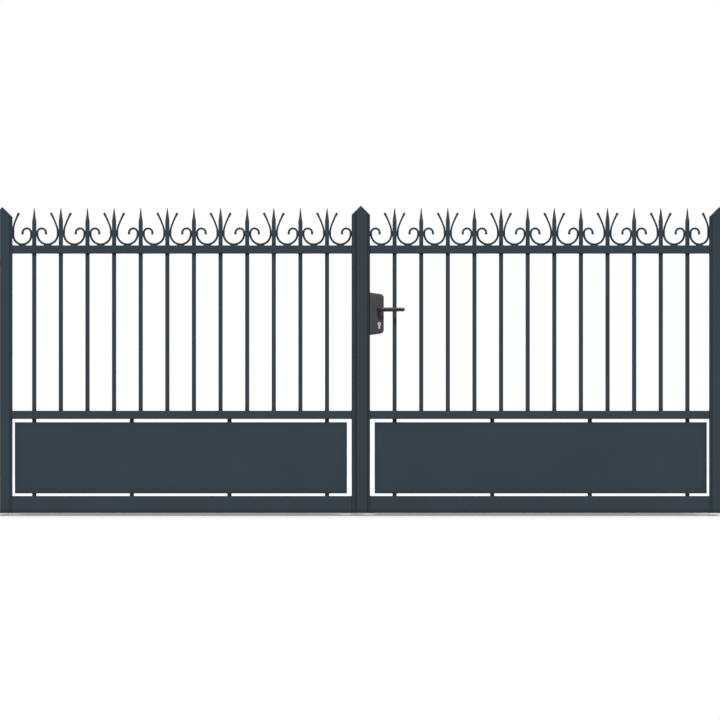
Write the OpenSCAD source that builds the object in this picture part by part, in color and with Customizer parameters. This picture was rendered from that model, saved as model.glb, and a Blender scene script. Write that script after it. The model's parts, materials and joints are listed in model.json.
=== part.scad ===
// Double-leaf swing gate in painted steel, hung between two bolted-down posts.
// X runs along the gate, Y through it (the lever side faces -Y) and Z up.
// The origin is the middle of the left post's foot, on the ground. Millimetres.

/* [Leaves] */
// Width of one leaf, from the outer face of its hinge stile to its closing edge
leaf_w = 1757; // [1200:1:2200]
// Height of a leaf from the underside of its bottom rail to the points of the closing stiles
leaf_h = 1500; // [1200:1:2000]
// Depth of stiles and rails, front to back
frame_d = 40; // [30:1:60]
// Gap between the two closing stiles
meeting_gap = 10; // [8:1:20]
// Gap under the leaves
ground_gap = 15; // [15:1:80]

/* [Stiles and rails] */
// Width of a hinge stile
hinge_stile_w = 60; // [40:1:80]
// Distance from a hinge stile's outer face to its point
hinge_point_in = 12; // [5:1:20]
// How far the points of the hinge stiles lie under those of the closing stiles
hinge_point_drop = 7; // [0:1:20]
// Width of a closing stile
closing_stile_w = 40; // [30:1:60]
// Height of the top rail
top_rail_h = 40; // [30:1:80]
// Height of the middle rail
mid_rail_h = 40; // [30:1:80]
// Height of the bottom rail
bottom_rail_h = 82; // [40:1:120]
// Corner radius of the steel sections
corner_r = 3; // [1:0.5:5]
// Width of the cover strip on the front of a hinge stile
stile_cover_w = 47; // [30:1:60]
// Thickness of that cover strip
stile_cover_t = 5; // [3:1:6]
// Distance from the top edge of the top rail up to the points of the closing stiles
crest_h = 194; // [170:1:240]

/* [Bars and spearheads] */
// Side of a square bar
bar_w = 20; // [12:1:30]
// Clear gap between two bars
bar_gap = 110; // [80:1:120]
// Distance from the points of the closing stiles down to the tips of the bars
tip_drop = 12; // [0:1:40]
// Length of a plain tapered tip
plain_tip_h = 62; // [30:1:80]
// Length of the slender part of a shouldered tip
lance_tip_h = 42; // [30:1:80]
// Width of the slender part of a shouldered tip at its foot
lance_tip_w = 12; // [8:1:16]
// Height of the shoulder under the slender part
lance_shoulder_h = 22; // [4:1:40]
// Width of the blunt end of every tip
tip_w = 3; // [1:0.5:5]

/* [Scrolls] */
// Thickness of the scroll strip, seen from the front
scroll_t = 10; // [5:1:12]
// Depth of the scroll strip, front to back
scroll_d = 12; // [6:1:20]
// Radius of the small curl at the middle of its strip
curl_r = 21; // [16:1:26]
// Height over the top rail at which a scroll is widest
scroll_mid = 62; // [58:1:80]
// Height of the flared end over the top rail
flare_h = 159; // [120:1:170]
// How much higher the scroll beside a hinge stile starts to flare
stile_flare_up = 14; // [0:1:30]

/* [Panel] */
// Height of the infill panel
panel_h = 348; // [200:1:600]
// Thickness of the infill panel
panel_t = 10; // [6:1:30]
// Gap under the panel
panel_gap_bottom = 12.5; // [6:0.5:30]
// Gap over the panel
panel_gap_top = 16; // [6:0.5:30]
// Gap between the panel and the hinge stile
panel_gap_hinge = 12.5; // [6:0.5:30]
// Gap between the panel and the closing stile
panel_gap_closing = 22.5; // [6:0.5:30]
// Width of a panel spacer
spacer_w = 20; // [10:1:30]
// Number of spacers over and under each panel
spacer_n = 4; // [2:1:8]

/* [Meeting strip] */
// How far the strip reaches past the meeting line onto the right stile
strip_over_right = 30; // [20:1:40]
// How far the strip reaches past the meeting line in front of the left stile
strip_over_left = 20; // [10:1:30]
// Thickness of the strip's lip
strip_t = 5; // [3:1:8]
// Air between the lip and the left stile
strip_clear = 5; // [5:1:8]

/* [Posts and hinges] */
// Side of a square post
post_w = 100; // [80:1:150]
// Height of a post under its cap
post_h = 1500; // [1200:1:2200]
// Height of the pyramid cap over its rim
cap_rise = 44; // [20:1:80]
// Side of the base plate
base_w = 200; // [180:1:300]
// Thickness of the base plate
base_t = 10; // [8:1:20]
// Distance between the anchor holes
anchor_pitch = 150; // [130:1:250]
// Diameter of an anchor hole
anchor_hole_d = 14; // [10:1:20]
// Distance from the post's face to the hinge pin's axis
pin_from_post = 42; // [40:1:60]
// Distance from the hinge pin's axis to the hinge stile
pin_from_stile = 26; // [24:1:40]
// Diameter of a hinge pin
pin_d = 16; // [12:1:18]
// Outer diameter of a hinge eye
eye_d = 32; // [28:1:36]
// Height of a hinge eye
eye_h = 40; // [25:1:60]
// Height of a hinge bracket's plate
bracket_h = 90; // [80:1:140]
// Width of a hinge bracket's plate
bracket_w = 60; // [40:1:90]
// Thickness of a hinge bracket's plate
bracket_t = 8; // [5:1:10]
// Thickness of the arm that carries the hinge pin
arm_t = 16; // [10:1:20]
// Distance between a bracket's two bolts
bracket_bolt_pitch = 60; // [50:1:70]
// Diameter of a bracket's bolt hole
bracket_hole_d = 12; // [8:1:14]
// Height of the lower hinge over the underside of the leaf
hinge_low_z = 175; // [100:1:400]
// Distance from the points of the closing stiles down to the upper hinge
hinge_high_drop = 300; // [250:1:500]

/* [Lock] */
// Height of the lock case
case_h = 208; // [180:1:240]
// Width of the lock case
case_w = 67; // [55:1:90]
// Depth of the lock over both covers
case_d = 52; // [46:1:70]
// Thickness of a lock cover
cover_t = 8; // [4:1:10]
// Distance from the closing stile to the lever's axis
backset = 45; // [35:1:50]
// Distance from the underside of the top rail down to the lever's axis
lever_drop = 273; // [200:1:500]
// Distance from the case's centre up to the lever's axis
lever_over_centre = 21; // [10:1:40]
// Distance from the lever's axis down to the cylinder's round part
cylinder_drop = 70; // [50:1:80]
// Length of the lever from its axis
lever_len = 125; // [90:1:140]
// Height of the lever's grip
lever_t = 20; // [16:1:24]
// Depth of the lever's grip
lever_d = 14; // [10:1:18]
// Distance from the case to the grip
lever_reach = 34; // [25:1:50]
// Diameter of the turning spindle and the lever's neck
spindle_d = 16; // [12:1:18]

/* [Hidden] */
$fn = 48;
fit = 0.05;        // radial clearance of a turning fit
seat = 0.2;        // clearance of a piece that is seated on another
pin_over = 6;      // how far a hinge pin stands out over its eye
plate_t = 3;       // lock front and strike plate
cover_lip = 2;     // how far the lock's covers stand out past its case
front_w = 22;      // lock front and strike plate, width and height
front_h = 200;
latch_h = 16;      // latch nose: height, depth and how far it stands out
latch_d = 12;
latch_out = 5;
cylinder_d = 17;   // profile cylinder: round part, stem and full height
cylinder_stem = 10;
cylinder_h = 33;
steel = "#38434a";
dark = "#47474a";
bright = "#bfc1c4";
zinc = "#8d9194";

pin_x = post_w / 2 + pin_from_post;
leaf_x = pin_x + pin_from_stile;
half_w = leaf_x + leaf_w + meeting_gap / 2;   // from the left post's axis to the meeting line
hinge_x1 = meeting_gap / 2 + leaf_w;
hinge_x0 = hinge_x1 - hinge_stile_w;
rail_x0 = meeting_gap / 2 + closing_stile_w;
rail_x1 = hinge_x0;
case_x = rail_x0;
spindle_x = case_x + backset;
bar_pitch = bar_w + bar_gap;
clear_w = leaf_w - hinge_stile_w - closing_stile_w;
bar_n = floor((clear_w - bar_gap / 2) / bar_pitch);

bottom_z = ground_gap;
top_z = bottom_z + leaf_h;
rail_top_z = top_z - crest_h;
rail_low_z = rail_top_z - top_rail_h;
panel_z = bottom_z + bottom_rail_h + panel_gap_bottom;
mid_z = panel_z + panel_h + panel_gap_top;
tip_z = top_z - tip_drop;
axis_z = rail_low_z - lever_drop;
case_z = axis_z - lever_over_centre;
hinge_zs = [bottom_z + hinge_low_z, top_z - hinge_high_drop];

// Each leaf is drawn once, with x counted from the meeting line towards its hinge stile.
// to_leaf places it on the left (side = -1) or on the right (side = 1) half of the gate.
module to_leaf(side) {
    translate([half_w, 0, 0]) mirror([side < 0 ? 1 : 0, 0, 0]) children();
}

// A post's things are drawn round the left post and mirrored to the right one.
module to_post(side) {
    if (side < 0) children();
    else translate([2 * half_w, 0, 0]) mirror([1, 0, 0]) children();
}

// A flat outline in the X-Z plane, given its depth along Y about the middle plane.
module upright(depth) {
    translate([0, depth / 2, 0]) rotate([90, 0, 0]) linear_extrude(depth) children();
}

// A rectangle with rounded corners, centred
module section(w, d, r = corner_r) {
    square([w - 2 * r, d], center = true);
    square([w, d - 2 * r], center = true);
    for (x = [-1, 1], y = [-1, 1]) translate([x * (w / 2 - r), y * (d / 2 - r)]) circle(r = r);
}

// A steel section that stands upright between two X and two Z values, centred on Y
module upright_section(x0, x1, d, z0, z1)
    translate([(x0 + x1) / 2, 0, z0]) linear_extrude(z1 - z0) section(x1 - x0, d);

module box(x0, x1, y0, y1, z0, z1) {
    translate([x0, y0, z0]) cube([x1 - x0, y1 - y0, z1 - z0]);
}

// ---- posts ----

module post(side) color(steel) to_post(side) upright_section(-post_w / 2, post_w / 2, post_w, base_t, post_h);

module post_cap(side) {
    rim_h = 6;
    rim_w = post_w + 6;
    // A pyramid is what two gable prisms at right angles share.
    module gable() upright(rim_w)
        polygon([[-rim_w / 2, 0], [rim_w / 2, 0], [rim_w / 2, rim_h], [0, rim_h + cap_rise], [-rim_w / 2, rim_h]]);
    color(steel) to_post(side) translate([0, 0, post_h]) intersection() {
        gable();
        rotate([0, 0, 90]) gable();
    }
}

module base_plate(side) {
    color(steel) to_post(side) difference() {
        box(-base_w / 2, base_w / 2, -base_w / 2, base_w / 2, 0, base_t);
        for (x = [-1, 1], y = [-1, 1])
            translate([x * anchor_pitch / 2, y * anchor_pitch / 2, -1])
                cylinder(h = base_t + 2, d = anchor_hole_d);
    }
}

// ---- hinges ----

module hinge_brackets(side) {
    color(zinc) to_post(side) for (z = hinge_zs) translate([0, 0, z]) {
        difference() {
            union() {
                box(post_w / 2, post_w / 2 + bracket_t, -bracket_w / 2, bracket_w / 2,
                    -bracket_h / 2 - arm_t / 2, bracket_h / 2 - arm_t / 2);
                box(post_w / 2 + bracket_t, pin_x, -eye_d / 2, eye_d / 2, -arm_t, 0);
                translate([pin_x, 0, -arm_t]) cylinder(h = arm_t, d = eye_d);
                translate([pin_x, 0, -arm_t]) cylinder(h = arm_t + eye_h + pin_over, d = pin_d);
            }
            for (s = [-1, 1]) translate([post_w / 2 - 1, 0, s * bracket_bolt_pitch / 2 - arm_t / 2])
                rotate([0, 90, 0]) cylinder(h = bracket_t + 2, d = bracket_hole_d);
        }
    }
}

module bracket_bolts(side) {
    head_d = 18;
    head_h = 7;
    color(zinc) to_post(side) for (z = hinge_zs, s = [-1, 1])
        translate([post_w / 2, 0, z + s * bracket_bolt_pitch / 2 - arm_t / 2]) rotate([0, 90, 0]) {
            cylinder(h = bracket_t + head_h, d = bracket_hole_d - 1);
            translate([0, 0, bracket_t]) cylinder(h = head_h, d = head_d, $fn = 6);
        }
}

module hinge_eyes(side) {
    nut_t = 8;
    nut_d = 26;
    pin_at = hinge_x1 + pin_from_stile;
    color(zinc) to_leaf(side) for (z = hinge_zs) translate([pin_at, 0, z + seat]) {
        difference() {
            union() {
                cylinder(h = eye_h, d = eye_d);
                translate([-pin_from_stile, 0, eye_h / 2]) rotate([0, 90, 0]) {
                    cylinder(h = pin_from_stile, d = pin_d);
                    cylinder(h = nut_t, d = nut_d, $fn = 6);
                }
            }
            translate([0, 0, -1]) cylinder(h = eye_h + 2, d = pin_d + 2 * fit);
        }
    }
}

// ---- leaf frame ----

module closing_stile(side) {
    x0 = meeting_gap / 2;
    x1 = x0 + closing_stile_w;
    color(steel) to_leaf(side) difference() {
        intersection() {
            upright_section(x0, x1, frame_d, bottom_z, top_z);
            upright(frame_d + 2) polygon([[x0 - 1, 0], [x1 + 1, 0], [x1 + 1, top_z - x1 - 1], [x0 - 1, top_z - x0 + 1]]);
        }
        translate([0, 0, axis_z - cylinder_drop / 2]) lock_recess();
    }
}

// Front view of everything under the two slopes that end a hinge stile, down to a little below the leaf
module under_hinge_point() {
    xp = hinge_x1 - hinge_point_in;
    zp = top_z - hinge_point_drop;
    reach = 2 * hinge_stile_w;
    polygon([[xp - reach, 0], [xp + reach, 0], [xp + reach, zp - reach], [xp, zp], [xp - reach, zp - reach]]);
}

module hinge_stile(side) color(steel) to_leaf(side) intersection() {
    upright_section(hinge_x0, hinge_x1, frame_d, bottom_z, top_z);
    upright(frame_d + 2) under_hinge_point();
}

module stile_cover(side) color(steel) to_leaf(side) intersection() {
    box(hinge_x1 - stile_cover_w, hinge_x1, -frame_d / 2 - stile_cover_t, -frame_d / 2, bottom_z, top_z);
    upright(4 * frame_d) under_hinge_point();
}

module rail(side, z, h) color(steel) to_leaf(side)
    translate([rail_x0, 0, z + h / 2]) rotate([90, 0, 90]) linear_extrude(rail_x1 - rail_x0) section(frame_d, h);

// The top rail is pierced for the bars.
module top_rail(side) color(steel) difference() {
    rail(side, rail_low_z, top_rail_h);
    to_leaf(side) for (i = [0 : bar_n - 1])
        box(bar_x(i) - bar_w / 2 - seat, bar_x(i) + bar_w / 2 + seat, -bar_w / 2 - seat, bar_w / 2 + seat,
            rail_low_z - 1, rail_top_z + 1);
}

// ---- bars ----

// Middle of bar i, counted from the closing stile
function bar_x(i) = rail_x0 + bar_gap + bar_w / 2 + i * bar_pitch;

// Half outline of a bar: even bars, between two flared ends, taper plainly; odd bars have a shoulder.
function bar_profile(i) = let (w = bar_w / 2, foot = mid_z + mid_rail_h)
    i % 2 == 0
    ? [[-w, foot], [w, foot], [w, tip_z - plain_tip_h], [tip_w / 2, tip_z], [-tip_w / 2, tip_z], [-w, tip_z - plain_tip_h]]
    : let (s = lance_tip_w / 2, z1 = tip_z - lance_tip_h, z0 = z1 - lance_shoulder_h)
      [[-w, foot], [w, foot], [w, z0], [s, z1], [tip_w / 2, tip_z], [-tip_w / 2, tip_z], [-s, z1], [-w, z0]];

module bars(side) {
    color(steel) to_leaf(side) for (i = [0 : bar_n - 1]) translate([bar_x(i), 0, 0]) intersection() {
        upright(bar_w) polygon(bar_profile(i));
        rotate([0, 0, 90]) upright(bar_w) polygon(bar_profile(i));
    }
}

// ---- scrolls ----

// Outline points of a strip bent round a centre, from one angle to another. Side 1 is its outer edge, -1 its inner.
function bend(centre, r, from, to, side, steps) =
    [for (i = [0 : steps]) let (a = from + (to - from) * i / steps) centre + (r + side * scroll_t / 2) * [cos(a), sin(a)]];

// One scroll in a gap of width w, its curl against x = 0 and its flared end against x = w, which starts to lean
// flare_up higher. Each bend starts where the last one ends, and along the same line, or straight above it.
// In a wide gap the curl moves up with the loop, and in a narrow one it is half as wide as the loop.
module scroll(w, flare_up) {
    curl_end = -24;
    turn = 20;         // of the tighter bend at the foot of the flare
    turn_r = 100;
    flare_r = 460;
    loop_r = (w - scroll_t) / 2 - seat;
    loop_z = loop_r + scroll_t / 2 + seat;
    mid = max(scroll_mid, loop_z);
    curl = min(curl_r, loop_r / 2);
    turn_c = [w / 2 + loop_r - turn_r, mid + flare_up];
    flare_c = turn_c + (turn_r - flare_r) * [cos(turn), sin(turn)];
    flare_end = asin((flare_h - flare_c[1]) / flare_r);
    function edge(side) = concat(
        bend([w / 2 - loop_r + curl, mid], curl, curl_end, 180, side, 24),
        bend([w / 2, loop_z], loop_r, 180, 360, side, 24),
        bend(turn_c, turn_r, 0, turn, side, 4),
        bend(flare_c, flare_r, turn + 2, flare_end, side, 3));
    inner = edge(-1);
    upright(scroll_d) polygon(concat(edge(1), [for (i = [len(inner) - 1 : -1 : 0]) inner[i]]));
}

// The curl turns to the closing stile in every even gap, and to the hinge stile in every odd one.
module scrolls(side) {
    color(steel) to_leaf(side) for (k = [0 : bar_n]) {
        x0 = k == 0 ? rail_x0 : bar_x(k - 1) + bar_w / 2;
        x1 = k == bar_n ? rail_x1 : bar_x(k) - bar_w / 2;
        translate([(x0 + x1) / 2, 0, rail_top_z]) mirror([k % 2, 0, 0])
            translate([-(x1 - x0) / 2, 0, 0]) scroll(x1 - x0, k == bar_n ? stile_flare_up : 0);
    }
}

// ---- panel ----

module panel(side) color(steel) to_leaf(side)
    box(rail_x0 + panel_gap_closing, rail_x1 - panel_gap_hinge, -panel_t / 2, panel_t / 2,
        panel_z, panel_z + panel_h);

module panel_spacers(side) {
    first = bar_x(0);
    step = (bar_x(bar_n - 1) - first) / (spacer_n - 1);
    color(steel) to_leaf(side) for (i = [0 : spacer_n - 1], top = [false, true])
        box(first + i * step - spacer_w / 2, first + i * step + spacer_w / 2, -panel_t / 2 + 2, panel_t / 2 - 2,
            top ? panel_z + panel_h : panel_z - panel_gap_bottom, top ? mid_z : panel_z);
}

// ---- meeting strip ----

// Fixed to the right closing stile. Its lip runs in front of the left one with air behind it.
module meeting_strip() {
    back = -frame_d / 2;
    gap_x = meeting_gap / 2;
    front = back - strip_clear - strip_t;
    outline = [[gap_x, back], [strip_over_right, back], [strip_over_right, front], [-strip_over_left, front],
               [-strip_over_left, back - strip_clear], [gap_x, back - strip_clear]];
    color(steel) to_leaf(1) intersection() {
        translate([0, 0, bottom_z]) linear_extrude(leaf_h) polygon(outline);
        translate([0, front / 2 + back / 2, 0]) upright(60)
            polygon([[-closing_stile_w, bottom_z], [closing_stile_w, bottom_z],
                     [closing_stile_w, top_z - closing_stile_w], [0, top_z],
                     [-closing_stile_w, top_z - closing_stile_w]]);
    }
}

// ---- lock ----

// The pocket in a closing stile's meeting face for the lock front or the strike plate
module lock_recess() {
    x = meeting_gap / 2;
    box(x - 1, x + plate_t, -front_w / 2 - seat, front_w / 2 + seat, -front_h / 2 - seat, front_h / 2 + seat);
}

module front_plate() {
    x = meeting_gap / 2;
    box(x, x + plate_t, -front_w / 2, front_w / 2, -front_h / 2, front_h / 2);
}

// The latch nose stands out of the lock's front plate.
module lock_front_plate() {
    x = meeting_gap / 2;
    color(bright) to_leaf(1) translate([0, 0, axis_z - cylinder_drop / 2]) {
        front_plate();
        box(x - latch_out, x, -latch_d / 2, latch_d / 2, cylinder_drop / 2 - latch_h / 2, cylinder_drop / 2 + latch_h / 2);
    }
}

// The strike plate has the latch's opening.
module strike_plate() {
    x = meeting_gap / 2;
    color(bright) to_leaf(-1) translate([0, 0, axis_z - cylinder_drop / 2]) difference() {
        front_plate();
        box(x - 1, x + plate_t + 1, -latch_d / 2 - 1, latch_d / 2 + 1,
            cylinder_drop / 2 - latch_h / 2 - 2, cylinder_drop / 2 + latch_h / 2 + 2);
    }
}

// Outline of the lock's profile cylinder: a round part with a narrower stem under it
module cylinder_outline(grow) {
    stem = cylinder_stem / 2 + grow;
    drop = cylinder_h - cylinder_d / 2 + grow - stem;   // from the round part's middle to the stem's round end
    circle(r = cylinder_d / 2 + grow);
    translate([-stem, -drop]) square([2 * stem, drop]);
    translate([0, -drop]) circle(r = stem);
}

// Outline of the lock, from the stile at x = 0: its top and bottom edges fall away to rounded corners.
module case_outline(w, h) {
    slope = 8;
    r = 16;
    steps = 8;
    corner_z = h / 2 - (w - r + r * sin(slope)) * tan(slope) - r * cos(slope);
    corner = [for (i = [0 : steps]) let (a = i / steps * (90 - slope)) [w - r + r * cos(a), corner_z + r * sin(a)]];
    polygon(concat([[0, -h / 2]], [for (i = [steps : -1 : 0]) [corner[i][0], -corner[i][1]]], corner, [[0, h / 2]]));
}

// What turns in the lock and what is locked in it pass right through case and covers.
module lock_holes() {
    translate([spindle_x, case_d, axis_z]) rotate([90, 0, 0]) cylinder(h = 2 * case_d, d = spindle_d + 2 * fit);
    translate([spindle_x, 0, axis_z - cylinder_drop]) upright(2 * case_d) cylinder_outline(seat);
}

module lock_case() color(dark) to_leaf(1) difference() {
    translate([case_x, 0, case_z]) upright(case_d - 2 * cover_t)
        case_outline(case_w - cover_lip, case_h - 2 * cover_lip);
    lock_holes();
}

// The cover on the lock's front (side = -1) or back (side = 1) stands out past the case all round.
module lock_cover(side) color(dark) to_leaf(1) difference() {
    translate([case_x, side * (case_d - cover_t) / 2, case_z]) upright(cover_t) case_outline(case_w, case_h);
    lock_holes();
}

module key_cylinder() {
    stand = 3;
    len = case_d + 2 * stand;
    keyway_deep = 6;
    color(bright) to_leaf(1) translate([spindle_x, 0, axis_z - cylinder_drop]) difference() {
        upright(len) cylinder_outline(0);
        for (s = [-1, 1]) translate([0, s * len / 2, 0])
            box(-1, 1, -keyway_deep, keyway_deep, -5, 5);
    }
}

// ---- lever ----

module lever_spindle() color(zinc) to_leaf(1)
    translate([spindle_x, case_d / 2 + 1, axis_z]) rotate([90, 0, 0]) cylinder(h = case_d + 2, d = spindle_d);

// Neck and grip of the front lever (side = -1) or of the back lever (side = 1)
module lever(side) {
    grip_y = side * (case_d / 2 + lever_reach + lever_d / 2);
    r = lever_d / 2;
    color(dark) to_leaf(1) translate([spindle_x, 0, axis_z]) {
        translate([0, side * (case_d / 2 + 1), 0]) rotate([side < 0 ? 90 : -90, 0, 0])
            cylinder(h = lever_reach - 1 + lever_d, d = spindle_d);
        translate([0, grip_y, 0]) rotate([90, 0, 90]) linear_extrude(lever_len)
            for (s = [-1, 1]) {
                translate([0, s * (lever_t / 2 - r)]) circle(r = r);
                translate([-r, -lever_t / 2 + r]) square([lever_d, lever_t - lever_d]);
            }
    }
}

post(-1);  // left_post
post(1);  // right_post
post_cap(-1);  // left_post_cap
post_cap(1);  // right_post_cap
base_plate(-1);  // left_base_plate
base_plate(1);  // right_base_plate
hinge_brackets(-1);  // left_hinge_brackets
hinge_brackets(1);  // right_hinge_brackets
bracket_bolts(-1);  // left_bracket_bolts
bracket_bolts(1);  // right_bracket_bolts
hinge_stile(-1);  // left_hinge_stile
hinge_stile(1);  // right_hinge_stile
stile_cover(-1);  // left_stile_cover
stile_cover(1);  // right_stile_cover
closing_stile(-1);  // left_closing_stile
closing_stile(1);  // right_closing_stile
top_rail(-1);  // left_top_rail
top_rail(1);  // right_top_rail
rail(-1, mid_z, mid_rail_h);  // left_mid_rail
rail(1, mid_z, mid_rail_h);  // right_mid_rail
rail(-1, bottom_z, bottom_rail_h);  // left_bottom_rail
rail(1, bottom_z, bottom_rail_h);  // right_bottom_rail
bars(-1);  // left_bars
bars(1);  // right_bars
scrolls(-1);  // left_scrolls
scrolls(1);  // right_scrolls
panel(-1);  // left_panel
panel(1);  // right_panel
panel_spacers(-1);  // left_panel_spacers
panel_spacers(1);  // right_panel_spacers
hinge_eyes(-1);  // left_hinge_eyes
hinge_eyes(1);  // right_hinge_eyes
strike_plate();
meeting_strip();
lock_case();
lock_cover(-1);  // lock_cover_front
lock_cover(1);  // lock_cover_back
lock_front_plate();
key_cylinder();
lever_spindle();
lever(-1);  // lever_front
lever(1);  // lever_back
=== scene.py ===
"""Looks of a double-leaf swing gate: finishes, scrolls, welds, lock furniture, hinge hardware and a stage.

Everything is in metres in the gate's own frame: X along the gate, Y through it, Z up, with the levers at -Y.
"""
import json
import math

import bpy
import numpy as np
from bpy.props import FloatProperty, FloatVectorProperty, PointerProperty
from bpy.types import Operator, Panel, PropertyGroup
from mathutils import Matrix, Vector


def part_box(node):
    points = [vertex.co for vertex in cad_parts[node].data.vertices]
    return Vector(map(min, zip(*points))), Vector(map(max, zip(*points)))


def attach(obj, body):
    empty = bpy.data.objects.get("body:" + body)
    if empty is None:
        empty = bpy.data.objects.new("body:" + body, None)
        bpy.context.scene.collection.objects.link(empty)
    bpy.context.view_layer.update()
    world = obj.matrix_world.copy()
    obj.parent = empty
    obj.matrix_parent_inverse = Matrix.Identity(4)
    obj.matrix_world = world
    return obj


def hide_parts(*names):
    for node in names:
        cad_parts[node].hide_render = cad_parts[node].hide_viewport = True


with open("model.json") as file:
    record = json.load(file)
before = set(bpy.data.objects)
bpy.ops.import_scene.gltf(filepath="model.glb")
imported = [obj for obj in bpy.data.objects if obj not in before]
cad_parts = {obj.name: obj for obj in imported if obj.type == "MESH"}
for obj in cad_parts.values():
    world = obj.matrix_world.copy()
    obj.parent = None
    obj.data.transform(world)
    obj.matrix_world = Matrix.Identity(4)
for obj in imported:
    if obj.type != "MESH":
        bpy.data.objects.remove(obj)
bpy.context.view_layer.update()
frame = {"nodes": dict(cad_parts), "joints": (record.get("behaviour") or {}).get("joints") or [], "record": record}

bl_info = {
    "name": "Swing Gate Finish",
    "version": (1, 0, 0),
    "blender": (4, 5, 0),
    "location": "View3D > Sidebar > Gate",
    "description": "Finishes and small hardware for a double-leaf steel swing gate",
    "category": "Object",
}

MM = 0.001
THROUGH = np.array([0.0, 1.0, 0.0])
UP = np.array([0.0, 0.0, 1.0])
FINISH = "_finish"   # a slot's material is called by the slot's name and this
LEAVES = {"left": 1, "right": -1}   # the way from a leaf's hinge stile to its closing stile, along X
FACES = {"front": -1, "back": 1}   # the way that each face of the lock looks, along Y
BAR_GAP = 110 * MM   # clear gap between two bars
SPACERS = 4   # spacers along each long edge of a panel
SPACER_WIDTH = 20 * MM


# ---- sizes and colours that a user would change ----


class GateFinishes(PropertyGroup):
    """Colours and gloss of the gate's finishes."""

    coat_color: FloatVectorProperty(
        name="Powder coat", description="Colour of the coated steel",
        subtype="COLOR", size=3, default=(0.0236, 0.0360, 0.0477), min=0, max=1)
    coat_roughness: FloatProperty(
        name="Coat roughness", description="Roughness of the satin powder coat", default=0.52, min=0, max=1)
    peel_size: FloatProperty(
        name="Orange peel", description="Distance between the ripples in the powder coat",
        default=1.6 * MM, min=0.2 * MM, max=10 * MM, unit="LENGTH")
    cover_color: FloatVectorProperty(
        name="Lock cover", description="Colour of the lock's moulded covers",
        subtype="COLOR", size=3, default=(0.040, 0.039, 0.042), min=0, max=1)
    grip_color: FloatVectorProperty(
        name="Lever", description="Colour of the levers",
        subtype="COLOR", size=3, default=(0.007, 0.007, 0.0075), min=0, max=1)
    zinc_color: FloatVectorProperty(
        name="Zinc", description="Colour of the plated hinges and bolts",
        subtype="COLOR", size=3, default=(0.44, 0.46, 0.48), min=0, max=1)
    nickel_color: FloatVectorProperty(
        name="Nickel", description="Colour of the key cylinder and lock plates",
        subtype="COLOR", size=3, default=(0.48, 0.475, 0.465), min=0, max=1)


class GateDetails(PropertyGroup):
    """Sizes of the small hardware."""

    scroll_thickness: FloatProperty(
        name="Scroll strip", description="Thickness of the scroll strip seen from the front",
        default=10 * MM, min=5 * MM, max=12 * MM, unit="LENGTH")
    curl_radius: FloatProperty(
        name="Curl radius", description="Radius of a scroll's small curl at the middle of its strip",
        default=21 * MM, min=16 * MM, max=26 * MM, unit="LENGTH")
    weld_radius: FloatProperty(
        name="Weld", description="Radius of a weld bead",
        default=2.0 * MM, min=1 * MM, max=5 * MM, unit="LENGTH")
    weld_pitch: FloatProperty(
        name="Weld ripple", description="Distance between the ripples of a weld bead",
        default=3.2 * MM, min=1 * MM, max=10 * MM, unit="LENGTH")
    section_radius: FloatProperty(
        name="Section corner", description="Corner radius of the steel sections",
        default=3 * MM, min=1 * MM, max=5 * MM, unit="LENGTH")


class GateStage(PropertyGroup):
    """Light levels and camera of the stage."""

    key_level: FloatProperty(
        name="Key light", description="Irradiance of the soft light from the upper front", default=3.3, min=0)
    back_level: FloatProperty(
        name="Back light", description="Irradiance of the weak light from the upper back", default=0.6, min=0)
    sky_level: FloatProperty(
        name="Sky", description="Level of the even light from all round", default=0.27, min=0)
    view_width: FloatProperty(
        name="View width", description="Width of the view at the gate",
        default=3.514, min=1, max=10, unit="LENGTH")
    view_height: FloatProperty(
        name="View height", description="Height of the view's centre over the underside of the leaves",
        default=0.7464, min=0, max=3, unit="LENGTH")
    camera_distance: FloatProperty(
        name="Camera distance", description="Distance from the camera to the gate",
        default=25.0, min=5, max=100, unit="LENGTH")


# ---- surfaces ----


def arc(centre, radius, start, end, count):
    """Points centre + radius (cos a, sin a), with a running evenly from start to end in degrees."""
    a = np.radians(np.linspace(start, end, count))
    return np.asarray(centre) + radius * np.stack([np.cos(a), np.sin(a)], axis=-1)


def even_line(points, count, closed=False):
    """The same line with evenly spread points: each coordinate is read off at equal steps of the length."""
    if closed:
        points = np.concatenate([points, points[:1]])
    steps = np.linalg.norm(np.diff(points, axis=0), axis=1)
    length = np.concatenate([[0], np.cumsum(steps)])
    at = np.linspace(0, length[-1], count, endpoint=not closed)
    return np.stack([np.interp(at, length, points[:, i]) for i in range(points.shape[1])], axis=-1)


def circle(count):
    """Points (cos a, sin a) at even steps round a circle."""
    a = np.linspace(0, 2 * math.pi, count, endpoint=False)
    return np.stack([np.cos(a), np.sin(a)], axis=-1)


def rounded_rectangle(width, height, radius, corner_points=4):
    """Outline of a rectangle whose corners are quarter circles, anticlockwise from the right-hand side."""
    x, y = width / 2 - radius, height / 2 - radius
    corners = [(x, y, 0), (-x, y, 90), (-x, -y, 180), (x, -y, 270)]
    return np.concatenate([arc((cx, cy), radius, a, a + 90, corner_points) for cx, cy, a in corners])


def quarter_round(distance, reach):
    """Height of a rounded edge at a distance from it: a quarter ellipse, 0 at the edge and 1 past reach."""
    return np.sqrt(1 - (1 - np.clip(distance / reach, 0, 1)) ** 2)


def hump(run, middle, width):
    """A bell curve: e to the power of minus the square of (run - middle) / width."""
    return np.exp(-((run - middle) / width) ** 2)


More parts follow.
